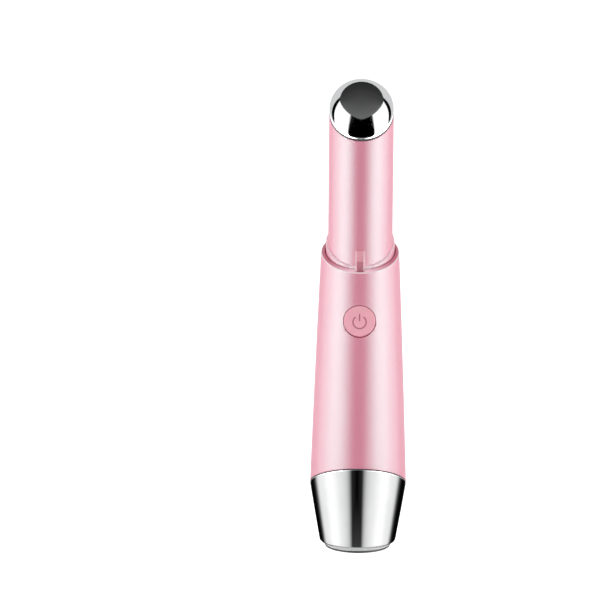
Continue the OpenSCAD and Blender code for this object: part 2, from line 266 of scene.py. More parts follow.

# %% [markdown]
# The last helpers round edges, join or cut closed shapes, and finish a piece. Doubles are merged
# and faces turned outwards before the piece gets its finish and the body that it rides on, and the
# CAD nodes that it stands for are hidden. Where a piece has fine bevels, its wide faces rule the
# shading, or each bevel would tilt the shading of the face next to it.

# %% Helpers to round, join and finish
def soften(piece, test, width, segments=3):
    """Rounds the edges that pass the test."""
    count = pick(piece, test, "EDGE")
    bpy.ops.mesh.bevel(offset=width * MM, segments=segments, affect="EDGES", clamp_overlap=True)
    return count


def soften_rim(piece, z, rise, beyond, width, segments=3):
    """Rounds the edges that lie on a slanted plane, beyond a radius."""
    return soften(piece, lambda p: on_plane(p, z, rise) and radius(p) > beyond, width, segments)


def combine(piece, other, operation):
    """Adds or cuts away another closed shape, which is then gone."""
    bpy.ops.object.mode_set(mode="OBJECT")
    bpy.context.view_layer.objects.active = piece
    modifier = piece.modifiers.new(operation.lower(), "BOOLEAN")
    modifier.operation = operation
    modifier.solver = "EXACT"
    modifier.object = other
    bpy.ops.object.modifier_apply(modifier=modifier.name)
    bpy.data.objects.remove(other)


def edit(piece):
    """Back into edit mode on one piece."""
    put_down()
    piece.select_set(True)
    bpy.context.view_layer.objects.active = piece
    bpy.ops.object.mode_set(mode="EDIT")


def finish_piece(piece, material, slot, body, *replaced, smooth=30, weighted=True):
    """Closes the piece, shades it, gives it its finish and body, and hides the CAD nodes it
    replaces.
    """
    edit(piece)
    bpy.ops.mesh.select_all(action="SELECT")
    merge_doubles()
    outward()
    bpy.ops.object.mode_set(mode="OBJECT")
    bpy.ops.object.shade_smooth_by_angle(angle=math.radians(smooth))
    if weighted:
        modifier = piece.modifiers.new("weighted", "WEIGHTED_NORMAL")
        modifier.keep_sharp = True
        bpy.ops.object.modifier_apply(modifier=modifier.name)
    piece.data.materials.clear()
    piece.data.materials.append(material)
    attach(piece, body)
    if replaced:
        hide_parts(*replaced)
    print(piece.name, len(piece.data.polygons), "faces")


print("bench ready")

# %% [markdown]
# ## Numbers that vary over a surface
# A finish is a small calculation that is done for every point of a surface: each sum or product
# in it is one Math node. Placing these by hand takes a line each. Here a socket is wrapped as an
# Amount, and plain arithmetic with Amounts places the nodes and links them.

# %% Arithmetic with shader nodes
def add_node(tree, kind, **settings):
    """A node with its settings and plain input values."""
    node = tree.nodes.new("ShaderNode" + kind)
    for key, value in settings.items():
        if key.startswith("in_"):
            label = key[3:]
            index = int(label) if label.isdigit() else label.replace("_", " ")
            node.inputs[index].default_value = value
        else:
            setattr(node, key, value)
    return node


class Amount:
    """A number that varies over a surface."""

    def __init__(self, socket):
        self.socket = socket
        self.tree = socket.id_data

    def into(self, target):
        self.tree.links.new(self.socket, target)

    def then(self, operation, *others, clamp=False):
        """A Math node on this number and others."""
        node = add_node(self.tree, "Math", operation=operation, use_clamp=clamp)
        for target, value in zip(node.inputs, (self, *others)):
            if isinstance(value, Amount):
                value.into(target)
            else:
                target.default_value = value
        return Amount(node.outputs[0])

    def spread(self, low, high, to_low=0.0, to_high=1.0, kind="LINEAR"):
        """Maps a range of this number to another range, and holds it at the ends."""
        node = add_node(self.tree, "MapRange", interpolation_type=kind, in_1=low, in_2=high,
                        in_3=to_low, in_4=to_high)
        self.into(node.inputs[0])
        return Amount(node.outputs[0])

    def step(self, low, high):
        """0 at the low value, 1 at the high one, smooth between."""
        return self.spread(low, high, kind="SMOOTHSTEP")

    def __rsub__(self, other):
        return self * -1.0 + other

    __add__ = partialmethod(then, "ADD")
    __sub__ = partialmethod(then, "SUBTRACT")
    __mul__ = partialmethod(then, "MULTIPLY")
    __truediv__ = partialmethod(then, "DIVIDE")
    __pow__ = partialmethod(then, "POWER")
    __lt__ = partialmethod(then, "LESS_THAN")
    __gt__ = partialmethod(then, "GREATER_THAN")


def object_place(tree):
    """The place of each point on its own piece, in metres."""
    return Amount(add_node(tree, "TexCoord").outputs["Object"])


def split(tree, vector):
    """The three parts of a place or direction."""
    parts = add_node(tree, "SeparateXYZ")
    vector.into(parts.inputs[0])
    return [Amount(part) for part in parts.outputs]


def places_mm(tree):
    """X, Y and Z of each point, in millimetres."""
    return [part / MM for part in split(tree, object_place(tree))]


def from_axis(x, y):
    """Distance from the wand's axis."""
    return (x ** 2.0 + y ** 2.0).then("SQRT")


print("shader arithmetic ready")

# %% [markdown]
# ## Effects that several finishes share
# A shader group is built once and placed in each material with its own values. The first gives
# a fine random grain, for moulded plastic and lacquer. The second adds broad, soft unevenness,
# as of handling and polishing. Both read Object coordinates, so they keep their size in
# millimetres and stay with the piece when it moves.

# %% Build the shared shader groups
def new_group(name, inputs, outputs):
    """An empty shader group with float inputs and outputs."""
    group = bpy.data.node_groups.new(name, "ShaderNodeTree")
    for label, value in inputs:
        socket = group.interface.new_socket(label, in_out="INPUT", socket_type="NodeSocketFloat")
        socket.default_value = value
    for label in outputs:
        group.interface.new_socket(label, in_out="OUTPUT", socket_type="NodeSocketFloat")
    return group, group.nodes.new("NodeGroupInput"), group.nodes.new("NodeGroupOutput")


grain_group, grain_in, grain_out = new_group(
    "fine_grain", [("Size mm", 0.1), ("Sparkle", 0.5)], ["Grain", "Flake"])
per_metre = Amount(grain_in.outputs["Size mm"]).then("POWER", -1.0) / MM
noise = add_node(grain_group, "TexNoise", in_Detail=2.0, in_Roughness=0.6)
cells = add_node(grain_group, "TexVoronoi", feature="F1")
for texture in (noise, cells):
    object_place(grain_group).into(texture.inputs["Vector"])
    per_metre.into(texture.inputs["Scale"])
cell_value = add_node(grain_group, "SeparateColor")
Amount(cells.outputs["Color"]).into(cell_value.inputs[0])
flake = Amount(cell_value.outputs[0]) * Amount(grain_in.outputs["Sparkle"])
Amount(noise.outputs["Fac"]).into(grain_out.inputs["Grain"])
flake.into(grain_out.inputs["Flake"])

wear_group, wear_in, wear_out = new_group("handling", [("Size mm", 8.0)], ["Mask", "Scratch"])
per_metre = Amount(wear_in.outputs["Size mm"]).then("POWER", -1.0) / MM
smudge = add_node(wear_group, "TexNoise", in_Detail=3.0, in_Roughness=0.55, in_Distortion=0.4)
stretch = add_node(wear_group, "Mapping", in_Scale=(1.0, 1.0, 0.04))
hairline = add_node(wear_group, "TexNoise", in_Detail=2.0, in_Roughness=0.7)
object_place(wear_group).into(smudge.inputs["Vector"])
object_place(wear_group).into(stretch.inputs["Vector"])
Amount(stretch.outputs[0]).into(hairline.inputs["Vector"])
per_metre.into(smudge.inputs["Scale"])
(per_metre * 24.0).into(hairline.inputs["Scale"])
Amount(smudge.outputs["Fac"]).spread(0.35, 0.7).into(wear_out.inputs["Mask"])
Amount(hairline.outputs["Fac"]).into(wear_out.inputs["Scratch"])
print("groups:", [g.name for g in bpy.data.node_groups])

# %% [markdown]
# ## Material helpers
# Each finish starts from one Principled shader. Constants are set on its own sockets. What
# changes over the surface comes from the groups: a mix of two close colours, a roughness that
# wanders a little, and a very small bump.

# %% Helpers for finishes
def new_material(name, **values):
    """A material with a Principled shader whose constants are set by name."""
    material = bpy.data.materials.new(name)
    material.use_nodes = True
    shader = material.node_tree.nodes["Principled BSDF"]
    for key, value in values.items():
        shader.inputs[key.replace("_", " ")].default_value = value
    return material, material.node_tree, shader


def place_group(tree, group, **values):
    """A shared group with its own values; gives its outputs by name."""
    node = tree.nodes.new("ShaderNodeGroup")
    node.node_tree = group
    for key, value in values.items():
        node.inputs[key.replace("_", " ")].default_value = value
    return {output.name: Amount(output) for output in node.outputs}


def blend_colours(mask, first, second, target):
    """Mixes two colours by a mask and feeds the result on."""
    mix = add_node(mask.tree, "Mix", data_type="RGBA")
    mix.inputs[6].default_value = (*first, 1)
    mix.inputs[7].default_value = (*second, 1)
    mask.into(mix.inputs[0])
    Amount(mix.outputs[2]).into(target)
    return mix


def tint_over(material, mask, colour):
    """Lays one more colour over a finish, where the mask is 1."""
    target = material.node_tree.nodes["Principled BSDF"].inputs["Base Color"]
    below = Amount(target.links[0].from_socket)
    below.into(blend_colours(mask, colour, colour, target).inputs[6])


def relief(shader, height, strength, depth_mm):
    """A bump of a real depth."""
    bump = add_node(height.tree, "Bump", in_Strength=strength, in_Distance=depth_mm * MM)
    height.into(bump.inputs["Height"])
    Amount(bump.outputs[0]).into(shader.inputs["Normal"])


def moulded(name, dark, light, rough, grain_mm=0.25, depth_mm=0.01, **values):
    """Moulded plastic or rubber: grain in colour, gloss and relief."""
    material, tree, shader = new_material(name, **values)
    grain = place_group(tree, grain_group, Size_mm=grain_mm)["Grain"]
    wear = place_group(tree, wear_group, Size_mm=6.0)["Mask"]
    blend_colours(grain, dark, light, shader.inputs["Base Color"])
    wear.spread(0, 1, rough - 0.05, rough + 0.07).into(shader.inputs["Roughness"])
    relief(shader, grain, 0.6, depth_mm)
    return material


def bright_metal(name, dark, light, rough, depth_mm=0.0004):
    """Plated or polished metal: faint hairlines and smudges."""
    material, tree, shader = new_material(name, Metallic=1.0)
    wear = place_group(tree, wear_group, Size_mm=7.0)
    blend_colours(wear["Mask"], dark, light, shader.inputs["Base Color"])
    wear["Mask"].spread(0, 1, rough, rough + 0.03).into(shader.inputs["Roughness"])
    relief(shader, wear["Scratch"], 0.25, depth_mm)
    return material


print("two kinds of finish: moulded and bright metal")

# %% [markdown]
# ## Pearl lacquer
# The pink parts are lacquered plastic with fine pearl flakes. Flakes are tiny cells that each
# shade the colour by a little. The gloss is satin: it spreads the studio lights into the two
# soft bands on the wand. It is tinted away from red, because a gloss in the lacquer's own pink
# would turn the bands orange.

# %% Make the pink finishes
PINK_DARK, PINK_LIGHT, PINK_ROUGH = (0.775, 0.236, 0.342), (0.815, 0.254, 0.366), 0.28


def pearl(name):
    """Pink lacquer with pearl flakes."""
    material, tree, shader = new_material(
        name, Specular_IOR_Level=1.0, Specular_Tint=(0.0, 1.0, 0.83, 1), IOR=1.5)
    flakes = place_group(tree, grain_group, Size_mm=0.14, Sparkle=1.0)
    wear = place_group(tree, wear_group, Size_mm=14.0)["Mask"]
    blend_colours(flakes["Flake"], PINK_DARK, PINK_LIGHT, shader.inputs["Base Color"])
    wear.spread(0, 1, PINK_ROUGH - 0.005, PINK_ROUGH + 0.01).into(shader.inputs["Roughness"])
    relief(shader, flakes["Grain"], 0.25, 0.002)
    return material


pink_lacquer = pearl("pearl_pink_lacquer")
button_lacquer = moulded("button_pink_lacquer", (0.87, 0.39, 0.47), (0.92, 0.43, 0.51), 0.55,
                         0.14, 0.004)
symbol_print = moulded("symbol_print", (0.43, 0.11, 0.15), (0.47, 0.13, 0.18), 0.6, 0.08, 0.002)
print("pink finishes ready")

# %% [markdown]
# ## Metals, rubber and inner materials
# The head is polished and the cup is chromed, so both are nearly perfect mirrors: their look is
# what they reflect. Hidden parts get the finish of the real thing too. Each line below is a name,
# a dark and a light colour, and a roughness, and some add the size and depth of the grain.

# %% Make the plain finishes
METALS = [("polished_head_metal", (0.86, 0.87, 0.88), (0.92, 0.925, 0.93), 0.035),
          ("chrome_plate", (0.88, 0.885, 0.89), (0.94, 0.94, 0.945), 0.02),
          ("plated_steel", (0.62, 0.63, 0.64), (0.72, 0.73, 0.74), 0.25, 0.002),
          ("motor_steel", (0.5, 0.505, 0.51), (0.62, 0.625, 0.63), 0.3, 0.004),
          ("weight_metal", (0.2, 0.2, 0.21), (0.3, 0.3, 0.31), 0.42, 0.01)]
MOULDED = [("seal_rubber", (0.02, 0.019, 0.02), (0.045, 0.042, 0.044), 0.6),
           ("gasket_rubber", (0.56, 0.26, 0.31), (0.62, 0.3, 0.35), 0.65),
           ("frame_plastic", (0.62, 0.60, 0.55), (0.72, 0.70, 0.65), 0.5),
           ("switch_black", (0.012, 0.012, 0.014), (0.03, 0.03, 0.034), 0.5),
           ("plunger_cream", (0.48, 0.43, 0.31), (0.56, 0.5, 0.37), 0.45),
           ("chip_black", (0.01, 0.01, 0.011), (0.022, 0.022, 0.024), 0.45, 0.12),
           ("foam_grey", (0.03, 0.032, 0.036), (0.09, 0.093, 0.1), 0.9, 0.3, 0.12),
           ("wire_white", (0.78, 0.76, 0.7), (0.86, 0.84, 0.79), 0.35, 0.6),
           ("wire_red", (0.42, 0.02, 0.02), (0.52, 0.035, 0.03), 0.35, 0.6),
           # The soft ring's deep rose is partly its own colour and partly painted shade of the
           # groove.
           ("ring_silicone", (0.5, 0.11, 0.17), (0.54, 0.13, 0.19), 0.5),
           ("foot_plastic", (0.56, 0.565, 0.57), (0.66, 0.665, 0.67), 0.5, 0.35, 0.02)]
finish = {values[0]: bright_metal(*values) for values in METALS}
finish.update({values[0]: moulded(*values) for values in MOULDED})
finish["pad_silicone"] = moulded("pad_silicone", (0.62, 0.58, 0.52), (0.7, 0.66, 0.6), 0.4,
                                 Subsurface_Weight=0.15, Subsurface_Scale=0.002)
print(len(finish), "plain finishes")

# %% [markdown]
# ## Finishes with a pattern
# The board's green mask is a brick pattern that is counted in metres, so at the board's own size
# it shows one even green. The heating film has one track that runs to and fro, which a sine of
# the position gives. The battery has a printed wrap with a dark end band.

# %% Make the finishes of the board, the heating film and the battery
finish["board_green"], tree, shader = new_material("board_green", Roughness=0.3, Coat_Weight=0.3)
upright = add_node(tree, "Mapping", in_Rotation=(math.radians(90), 0, 0))
tracks = add_node(tree, "TexBrick", offset=0.37, in_Scale=1.0, in_Brick_Width=5.3,
                  in_Row_Height=0.9, in_Mortar_Size=0.1, in_Mortar_Smooth=0.1)
object_place(tree).into(upright.inputs[0])
Amount(upright.outputs[0]).into(tracks.inputs["Vector"])
track_mask = Amount(tracks.outputs["Fac"])
blend_colours(track_mask, (0.025, 0.15, 0.07), (0.05, 0.26, 0.12), shader.inputs["Base Color"])
relief(shader, track_mask, 0.5, 0.03)

HEATER_PITCH = 1.1
finish["heater_copper"], tree, shader = new_material("heater_copper", Roughness=0.35)
wave = (places_mm(tree)[0] / HEATER_PITCH * math.tau).then("SINE")
track_mask = wave.then("MULTIPLY_ADD", 6.0, 0.5, clamp=True)
blend_colours(track_mask, (0.42, 0.2, 0.05), (0.72, 0.32, 0.14), shader.inputs["Base Color"])
track_mask.into(shader.inputs["Metallic"])
relief(shader, track_mask, 0.5, 0.03)

WRAP_BAND_Z = 55.0
finish["battery_wrap"], tree, shader = new_material("battery_wrap", Roughness=0.28,
                                                    Coat_Weight=0.4)
blend_colours(places_mm(tree)[2] > WRAP_BAND_Z, (0.05, 0.25, 0.5), (0.02, 0.03, 0.05),
              shader.inputs["Base Color"])
relief(shader, place_group(tree, wear_group, Size_mm=9.0)["Mask"], 0.3, 0.03)
print(len(bpy.data.materials), "materials so far")

# %% [markdown]
# ## Painted highlights on the rims
# The light line along the slanted rims of the handle and the collar is a painted highlight, a pale
# pink laid into the lacquer's colour. The line is a band under the rim's plane, worked out from
# the place of each point, so it follows the slant and needs no extra mesh. The key's ribs get the
# same painted highlight, and the slope between them gets painted light, as if lit from above.

# %% Make the handle's and the collar's finishes
# A painted highlight colour for rims and ribs, and a painted light colour for the key's slope.
EDGE_HIGHLIGHT_PINK, SLOPE_LIGHT_PINK = (1.0, 0.73, 0.79), (0.95, 0.42, 0.5)


def paint_rim_highlight(material, z, rise, depth_mm, out_r):
    """Paints a highlight into a lacquer just under a slanted plane, as far out as a radius."""
    x, y, height = places_mm(material.node_tree)
    above = height + (y * -rise - z)
    mask = above.spread(-depth_mm, -depth_mm / 3, 0.0, 0.95)
    tint_over(material, mask * ((above < 0.04) * (from_axis(x, y) < out_r)), EDGE_HIGHLIGHT_PINK)


# Copies of the pink lacquer with painted highlights along the handle's rim and the collar's rim.
handle_lacquer = pearl("pearl_pink_handle")
paint_rim_highlight(handle_lacquer, RIM_Z, RIM_RISE, 0.22, HANDLE_TOP_R + 1)
collar_lacquer = pearl("pearl_pink_collar")
paint_rim_highlight(collar_lacquer, SLEEVE_Z, SLEEVE_RISE, 0.12, SLEEVE_R + 0.02)

x, y, height = places_mm(collar_lacquer.node_tree)
on_key = y < -TUBE_R - 0.15
on_rib = x.then("ABSOLUTE") > KEY_W / 2 - KEY_RIB
# Painted light on the key's upper slope, and a painted highlight on its two ribs.
tint_over(collar_lacquer, on_key * (height > KEY_STEP_Z) * 0.7, SLOPE_LIGHT_PINK)
tint_over(collar_lacquer, on_key * on_rib * 0.6, EDGE_HIGHLIGHT_PINK)
print("pale rims at", RIM_Z, "and", SLEEVE_Z, "mm")

# %% [markdown]
# ## Shades on the soft ring and the foot
# The soft ring in the groove gets painted light at the front, where light falls in, and painted
# shade close to the collar, deep in the groove. The foot gets a painted contact shadow at its
# lowest edge.

# %% Paint light and shade on the ring and the foot
RING_SHADE_R, FOOT_SHADOW_Z = 9.3, 0.6
x, y, height = places_mm(finish["ring_silicone"].node_tree)
# Painted light: the ring turns pale towards the front.
front_light_share = y.then("MULTIPLY_ADD", -1 / 5.6, -4 / 5.6, clamp=True)
tint_over(finish["ring_silicone"], front_light_share ** 2.0, (0.97, 0.6, 0.7))
# Painted shade: the ring turns dark within this radius, next to the collar.
tint_over(finish["ring_silicone"], from_axis(x, y) < RING_SHADE_R, (0.32, 0.15, 0.17))
foot_height = places_mm(finish["foot_plastic"].node_tree)[2]
# Painted contact shadow: the foot is near black below this height.
tint_over(finish["foot_plastic"], foot_height < FOOT_SHADOW_Z, (0.015, 0.015, 0.015))
print(len(bpy.data.materials), "materials in all")

# %% [markdown]
# ## Inner parts
# The CAD solids inside the wand keep their own meshes, and only their finish is set. Each finish
# is named once, with all the parts that have it.

# %% Give the CAD nodes that stay their finishes
NODES_WITH = {
    "gasket_rubber": "button_gasket", "plunger_cream": "switch_plunger",
    "switch_black": "switch_body socket_tongue thermistor motor_end_cap",
    "board_green": "circuit_board", "chip_black": "board_parts",
    "plated_steel": "charge_socket battery_tabs base_screws motor_shaft",
    "frame_plastic": "chassis motor_holder", "battery_wrap": "battery_cell",
    "foam_grey": "battery_pad", "heater_copper": "heater_film", "pad_silicone": "heater_pad",
    "motor_steel": "motor_can", "weight_metal": "eccentric_weight",
    "wire_white": "heater_leads", "wire_red": "motor_leads battery_leads",
}
for finish_name, node_names in NODES_WITH.items():
    for name in node_names.split():
        for holder in nodes[name].material_slots:
            holder.material = finish[finish_name]
print("finished", sum(len(names.split()) for names in NODES_WITH.values()), "inner nodes")

# %% [markdown]
# ## The handle
# A thin plastic shell, wider at the base. It could be a stack of circles, but a turned profile is
# how such a mould is cut, and two slanted plane cuts then give the rim and the parting line
# exactly. Inner and outer wall are drawn as two lines, turned together, cut, and bridged along
# each cut.

# %% Turn and cut the handle shell
cut_room = 6.0
handle_low, handle_high = 7.0, RIM_Z + cut_room
outer_heights = [handle_low, 25, 30, 35, 40, 45, 50]
outer_heights += [53 + 1.25 * step for step in range(15)]
outer_heights.append(handle_high)

handle = start_piece("handle_shell_skin")
turn([(handle_r(z), 0, z) for z in outer_heights])
seat_r = SLEEVE_R + 0.02
seat_and_flange = [(seat_r, 0, handle_high), (seat_r, 0, SEAT_Z), (FLANGE_R, 0, SEAT_Z),
                   (FLANGE_R, 0, FLANGE_Z)]
inner_heights = (FLANGE_Z, 55, 45, 35, 25, handle_low)
turn(seat_and_flange + [(handle_r(z) - SHELL_WALL, 0, z) for z in inner_heights])
slice_and_close(handle, RIM_Z, RIM_RISE)
handle_end_z = PARTING_Z + BASE_SEAL_T / 2
slice_and_close(handle, handle_end_z, PARTING_RISE, keep="above")
outward()
print("handle from", handle_end_z, "to", RIM_Z, "mm at the axis")

# %% [markdown]
# ## The rim and its groove
# The rim is a thin lip with a groove behind it. The groove's floor is parallel to the slanted rim,
# so its cutter is a turned disc that is sheared: every point is lifted by its place along Y.

# %% Cut the groove
groove_low = RIM_Z - GROOVE_DEPTH
groove = start_piece("groove")
turn([(0, 0, groove_low), (GROOVE_R, 0, groove_low), (GROOVE_R, 0, 90), (0, 0, 90)])
shear_up(RIM_RISE, RIM_Z)
outward()
combine(handle, groove, "DIFFERENCE")
print("groove floor", groove_low, "mm high at the middle, parallel to the rim")

# %% [markdown]
# ## The button hole
# The button slides in a round hole through the shell, with a boss behind it that the gasket
# seals on. Both are bars along the button's axis: one is joined to the shell, cut to the shell's
# own curve first, and the other is cut away from it.

# %% Cut the button hole
def round_about_button(name, outline, steps=TURN_STEPS):
    """A closed piece turned about the button's axis, from (radius, y) pairs."""
    piece = start_piece(name)
    turn([(r, y, BUTTON_Z) for r, y in outline], center=(0, 0, BUTTON_Z), axis=(0, 1, 0),
         steps=steps)
    outward()
    return piece


def button_bar(name, bar_r, front, back):
    """A closed round bar along Y at the button's height."""
    outline = [(0, front), (bar_r, front), (bar_r, back), (0, back)]
    return round_about_button(name, outline, BUTTON_STEPS)


BOSS_Y, BOSS_WALL = -7.1, 1.3
hole_r = BUTTON_R + BUTTON_GAP
boss = button_bar("boss", hole_r + BOSS_WALL, -9.6, BOSS_Y)
boss_limit = start_piece("boss_limit")
turn([(0, 0, 50), (handle_r(50) - 0.7, 0, 50), (handle_r(70) - 0.7, 0, 70), (0, 0, 70)])
outward()
combine(boss, boss_limit, "INTERSECT")
combine(handle, boss, "UNION")
combine(handle, button_bar("hole", hole_r, -15, -5), "DIFFERENCE")
print("button hole cut, radius", hole_r, "mm")

# %% [markdown]
# ## The handle's edges
# The edges are rounded last, as a Boolean that meets a bevel leaves slivers. The rim, the lower
# edge and the edge of the button hole each get the radius of a moulded edge.

# %% Round the handle's edges
edit(handle)


def from_button(point):
    """Distance from the button's middle line."""
    return math.hypot(point.x, point.z - BUTTON_Z)


OUTER_WALL_R = 11.8
hole_edges = soften(handle, lambda p: abs(from_button(p) - hole_r) < 0.01 and p.y < -9.2,
                    FINE_EDGE)
rim_edges = soften_rim(handle, RIM_Z, RIM_RISE, GROOVE_R + 0.1, RIM_EDGE, 5)
low_edges = soften_rim(handle, handle_end_z, PARTING_RISE, OUTER_WALL_R, FINE_EDGE, 2)
print("edges rounded: hole", hole_edges, "rim", rim_edges, "lower", low_edges)
finish_piece(handle, handle_lacquer, "pearl_pink", "wand", "handle_shell")

# %% [markdown]
# ## The collar
# A thin sleeve stands round the tube, with its own slanted rim. It is turned and cut as the
# handle was, and its outer rim is rounded.

# %% Turn the collar sleeve
collar = start_piece("collar_sleeve_skin")
turn([(TUBE_R, 0, 95), (TUBE_R, 0, SEAT_Z), (SLEEVE_R, 0, SEAT_Z), (SLEEVE_R, 0, 95)])
slice_and_close(collar, SLEEVE_Z, SLEEVE_RISE)
outward()
collar_edges = soften_rim(collar, SLEEVE_Z, SLEEVE_RISE, SLEEVE_R - 0.01, COLLAR_EDGE)
print("collar rim edges rounded:", collar_edges)

# %% [markdown]
# On the sleeve's front is a locating key: a narrow tongue that leans back to the tube at its top.
# A channel in its face is deep below and slopes out above, which leaves two thin ribs. Tongue and
# channel are outlines seen from the side, pulled to a width: one is joined to the sleeve and the
# other is cut away from it.

# %% Shape the key and join it
key_back = TUBE_R - 0.2
key = prism("key", [(-key_back, KEY_LOW_Z), (-KEY_R, KEY_LOW_Z), (-KEY_R, KEY_TOP_Z - 2),
                    (-TUBE_R - 0.3, KEY_TOP_Z), (-key_back, KEY_TOP_Z)], KEY_W)
channel = prism("channel", [(-12, 73), (-SLEEVE_R - 0.05, 73), (-SLEEVE_R - 0.05, KEY_STEP_Z),
                            (-KEY_R + 0.1, KEY_STEP_Z), (-SLEEVE_R, KEY_TOP_Z - 1.1),
                            (-SLEEVE_R, 82), (-12, 82)], KEY_W - 2 * KEY_RIB)
combine(key, channel, "DIFFERENCE")
edit(key)
soften(key, lambda p: True, TUBE_EDGE)
outward()
combine(collar, key, "UNION")
finish_piece(collar, collar_lacquer, "pearl_pink", "wand", "collar_sleeve")

# %% [markdown]
# ## The soft ring
# A soft ring fills the groove between the rim and the collar, and rises a little towards the
# collar. It is a closed outline that is turned, sheared to the rim's slant, and opened at the
# front by a block where the key passes.

# %% Make the soft ring
ring_out, ring_in = GROOVE_R - 0.02, SLEEVE_R + 0.2
ring_outline = [(ring_out, groove_low + 0.01), (ring_out, RIM_Z - 0.1),
                (ring_out - 0.03, RIM_Z - 0.03), (ring_out - 0.1, RIM_Z + 0.02),
                (ring_in + 0.14, RIM_Z + 0.38), (ring_in + 0.06, RIM_Z + 0.38),
                (ring_in, RIM_Z + 0.32), (ring_in, groove_low + 0.01)]
soft_ring = start_piece("cap_ring_skin")
turn([(r, 0, z) for r, z in ring_outline + ring_outline[:1]])
shear_up(RIM_RISE, RIM_Z)
outward()
combine(soft_ring, prism("key_way", [(-12, 70), (-8, 70), (-8, 80), (-12, 80)], KEY_W + 0.16),
        "DIFFERENCE")
finish_piece(soft_ring, finish["ring_silicone"], "ring_silicone", "wand", "cap_ring")

# %% [markdown]
# ## The tube
# The tube is a plain turned profile, cut at the slant of the head. Low down, inside the sleeve,
# its wall is thicker, where it is glued in.

# %% Turn the tube
bore_r = TUBE_R - TUBE_WALL
tube = start_piece("head_tube_skin")
thick_r, thick_z = bore_r - 0.35, 86
turn([(TUBE_R, 0, 125), (TUBE_R, 0, SEAT_Z), (thick_r, 0, SEAT_Z), (thick_r, 0, thick_z),
      (bore_r, 0, thick_z), (bore_r, 0, 125)])
slice_and_close(tube, CUT_Z, CUT_RISE)
outward()
soften_rim(tube, CUT_Z, CUT_RISE, bore_r + 0.01, TUBE_EDGE)
finish_piece(tube, pink_lacquer, "pearl_pink", "wand", "head_tube")

# %% [markdown]
# ## The dark seal at the head
# A thin dark ring lies in the joint between tube and head. It is cut out between two parallel
# slanted planes, a hair narrower than the tube, so it reads as a line.

# %% Make the head's seal
def slanted_ring(name, outer, inner, z, rise, thickness):
    """A ring between two parallel slanted planes; the radii are given at two heights."""
    ring = start_piece(name)
    turn(outer)
    turn(inner)
    slice_and_close(ring, z + thickness, rise)
    slice_and_close(ring, z, rise, keep="above")
    return ring


head_seal = slanted_ring("head_seal_ring", [(TUBE_R - 0.03, 0, 100), (TUBE_R - 0.03, 0, 125)],
                         [(bore_r, 0, 125), (bore_r, 0, 100)], CUT_Z, CUT_RISE, HEAD_SEAL_T)
finish_piece(head_seal, finish["seal_rubber"], "seal_rubber", "wand", "head_seal")

# %% [markdown]
# ## The metal head
# This is the piece that takes the most skill. Its face is a slanted dome whose rounded edge
# stays tangent to the tube all round. A tilted dome would bulge out on one side. Instead, an
# upright dome is turned and then sheared, which keeps its upright walls upright, and it is cut
# at the seam.

# %% Turn the dome, shear it and cut it at the seam
DOME_STEPS = 26


def dome_point(share):
    """A point of the dome's profile, from 0 at its edge to 1 at its middle."""
    angle = math.radians(90) * (1 - share)
    side = math.sin(angle) ** (2 / FACE_FULLNESS)
    up = math.cos(angle) ** (2 / FACE_FULLNESS)
    return (TUBE_R * side, 0, FACE_Z + FACE_DOME * up)


head = start_piece("massage_head_skin")
profile = [dome_point((step / DOME_STEPS) ** 1.2) for step in range(DOME_STEPS)]
turn([(TUBE_R, 0, FACE_Z - 12)] + profile + [(0, 0, FACE_Z + FACE_DOME)])
shear_up(FACE_RISE, FACE_Z)
seam_z = CUT_Z + HEAD_SEAL_T
slice_off(seam_z, CUT_RISE, keep="above")
print("dome profile points:", len(profile))

# %% [markdown]
# Below the seam the metal goes on as a spigot that fits into the tube, and the head is hollow,
# so that its heater lies close under the face. The open edge at the seam is pulled in, down and
# closed. The pocket is cut by a bar whose end has the same shear as the face.

# %% Pull out the spigot and cut the pocket
SPIGOT_R, SPIGOT_H = bore_r - 0.02, 3.5
POCKET_R, POCKET_Z = 6.3, FACE_Z + FACE_DOME - 2.0


def pull(move=(0, 0, 0), scale=1.0, about=(0, 0, 0)):
    """Extrudes the open edge that is selected, moves it and scales it across."""
    bpy.ops.mesh.extrude_region_move(TRANSFORM_OT_translate={"value": Vector(move) * MM})
    bpy.ops.transform.resize(value=(scale, scale, scale), center_override=Vector(about) * MM)


pick(head, lambda p: on_plane(p, seam_z, CUT_RISE))
pull(scale=SPIGOT_R / TUBE_R, about=(0, 0, seam_z))
pull(move=(0, 0, -SPIGOT_H))
bpy.ops.mesh.edge_face_add()
outward()
soften_rim(head, seam_z, CUT_RISE, TUBE_R - 0.01, HEAD_EDGE, 4)
pocket = start_piece("pocket")
turn([(0, 0, POCKET_Z), (POCKET_R, 0, POCKET_Z), (POCKET_R, 0, POCKET_Z - 25),
      (0, 0, POCKET_Z - 25)])
shear_up(FACE_RISE, POCKET_Z)
outward()
combine(head, pocket, "DIFFERENCE")
finish_piece(head, finish["polished_head_metal"], "polished_metal", "wand", "massage_head",
             smooth=40, weighted=False)

# %% [markdown]
# ## The chrome cup
# Its upper edge is a slanted oval on the flared handle, and its lower edge is a level circle.
# A bridge between the two with many steps makes the wall, as a sheet would be pressed over two
# hoops. The hoops between are then each stretched by a little, which gives the soft bulge.

# %% Bridge the cup's wall
cup_top_z = PARTING_Z - BASE_SEAL_T / 2
wall_low_r = CUP_R - 0.1
HOOPS = 15

cup = start_piece("base_cup_skin")
turn([(handle_r(7), 0, 7), (handle_r(25), 0, 25)])
slice_off(cup_top_z, PARTING_RISE)
pick(cup, lambda p: p.z < 7.01)
bpy.ops.mesh.delete(type="VERT")
bpy.ops.mesh.primitive_circle_add(vertices=TURN_STEPS, radius=wall_low_r * MM,
                                  location=(0, 0, CUP_LOW_Z * MM))
bpy.ops.mesh.select_all(action="SELECT")
bpy.ops.mesh.bridge_edge_loops(number_cuts=HOOPS, interpolation="LINEAR")


